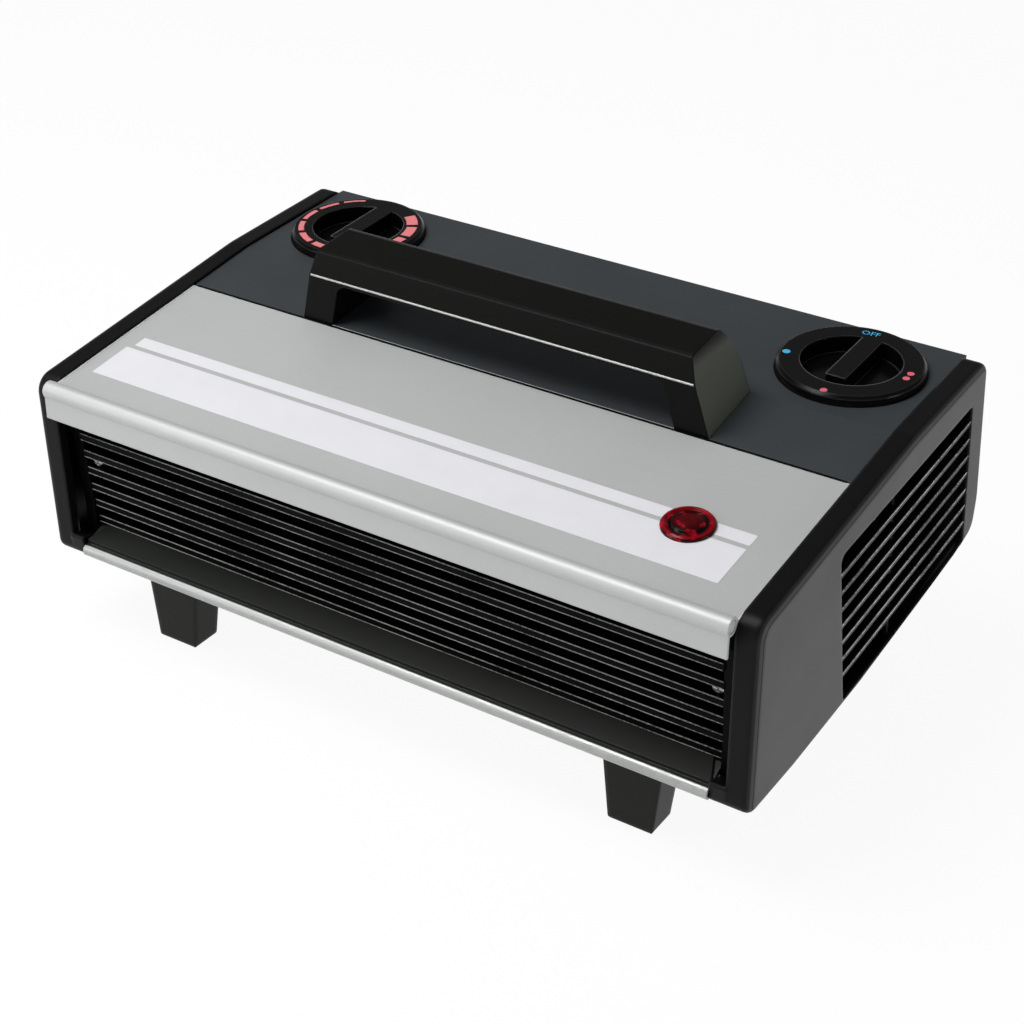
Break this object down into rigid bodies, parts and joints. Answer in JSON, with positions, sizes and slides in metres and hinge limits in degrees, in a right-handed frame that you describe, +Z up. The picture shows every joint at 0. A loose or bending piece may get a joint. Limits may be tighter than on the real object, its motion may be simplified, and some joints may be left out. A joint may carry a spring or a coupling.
{
  "type": "fan convector heater",
  "caption": "Low fan convector heater with a silver nose panel over a louvred outlet, barred end caps, a bridge handle, sunk-grip dials and tapered feet.",
  "frame": {"origin": "on the floor under the middle of the heater's bounding box", "axes": "+X to the viewer's right along the width, -Y out of the outlet, +Z up"},
  "size_m": [0.362, 0.2308, 0.1777],
  "materials": {
    "cap_plastic": "fine-grained charcoal moulding",
    "silver_paint": "silver paint on steel sheet",
    "cover_plastic": "dark grey moulding, fine grain",
    "tray_paint": "silver paint on steel sheet",
    "apron_plastic": "green-grey moulding",
    "grille_black": "black stove paint",
    "back_paint": "dark grey paint on steel sheet",
    "handle_plastic": "near-black moulding",
    "foot_plastic": "charcoal moulding",
    "knob_plastic": "satin black moulding",
    "lens_red": "translucent red",
    "lamp_glass": "clear bulb",
    "plated_steel": "bright zinc plate",
    "brass": "plain brass",
    "lamination": "varnished laminations",
    "copper_coil": "varnished copper wire under tape",
    "cream_plastic": "cream moulding",
    "black_plastic": "black moulding",
    "mica": "mica sheet",
    "heater_alloy": "resistance ribbon",
    "gland_rubber": "black rubber"
  },
  "bodies": {
    "chassis": {"left_end_cap": "cap_plastic", "right_end_cap": "cap_plastic", "front_panel": "silver_paint", "top_cover": "cover_plastic", "base_tray": "tray_paint", "front_apron": "apron_plastic", "outlet_grille": "grille_black", "grille_screws": "plated_steel", "rear_panel": "back_paint", "rear_screws": "plated_steel", "cap_screws": "plated_steel", "carry_handle": "handle_plastic", "handle_screws": "plated_steel", "front_left_foot": "foot_plastic", "front_right_foot": "foot_plastic", "rear_left_foot": "foot_plastic", "rear_right_foot": "foot_plastic", "foot_screws": "plated_steel", "thermostat_nut": "plated_steel", "thermostat_body": "cream_plastic", "selector_nut": "plated_steel", "selector_switch": "black_plastic", "indicator_lens": "lens_red", "indicator_clip": "plated_steel", "neon_lamp": "lamp_glass", "neon_holder": "cream_plastic", "motor_stator": "lamination", "motor_coil": "copper_coil", "left_motor_bracket": "plated_steel", "right_motor_bracket": "plated_steel", "bearing_bushes": "brass", "motor_bolts": "plated_steel", "left_scroll": "plated_steel", "right_scroll": "plated_steel", "heater_duct": "plated_steel", "mica_boards": "mica", "lower_ribbon": "heater_alloy", "upper_ribbon": "heater_alloy", "thermal_cutout": "black_plastic", "terminal_block": "cream_plastic", "terminal_screws": "brass", "cord_gland": "gland_rubber"},
    "thermostat": {"thermostat_knob": "knob_plastic", "thermostat_spindle": "brass"},
    "selector": {"selector_knob": "knob_plastic", "selector_spindle": "brass"},
    "fan": {"fan_shaft": "plated_steel", "motor_rotor": "lamination", "left_impeller": "black_plastic", "right_impeller": "black_plastic"}
  },
  "joints": [
    {"name": "thermostat_turn", "type": "hinge", "parent": "chassis", "child": "thermostat", "pos_m": [-0.132, 0.068, 0.14635], "axis": [0, -0.0464, 0.9989], "range_deg": [-300, 0]},
    {"name": "selector_turn", "type": "hinge", "parent": "chassis", "child": "selector", "pos_m": [0.132, 0.068, 0.14635], "axis": [0, -0.0464, 0.9989], "range_deg": [-270, 0]},
    {"name": "fan_spin", "type": "hinge", "parent": "chassis", "child": "fan", "pos_m": [0, 0.0085, 0.09918], "axis": [1, 0, 0], "continuous": true}
  ]
}
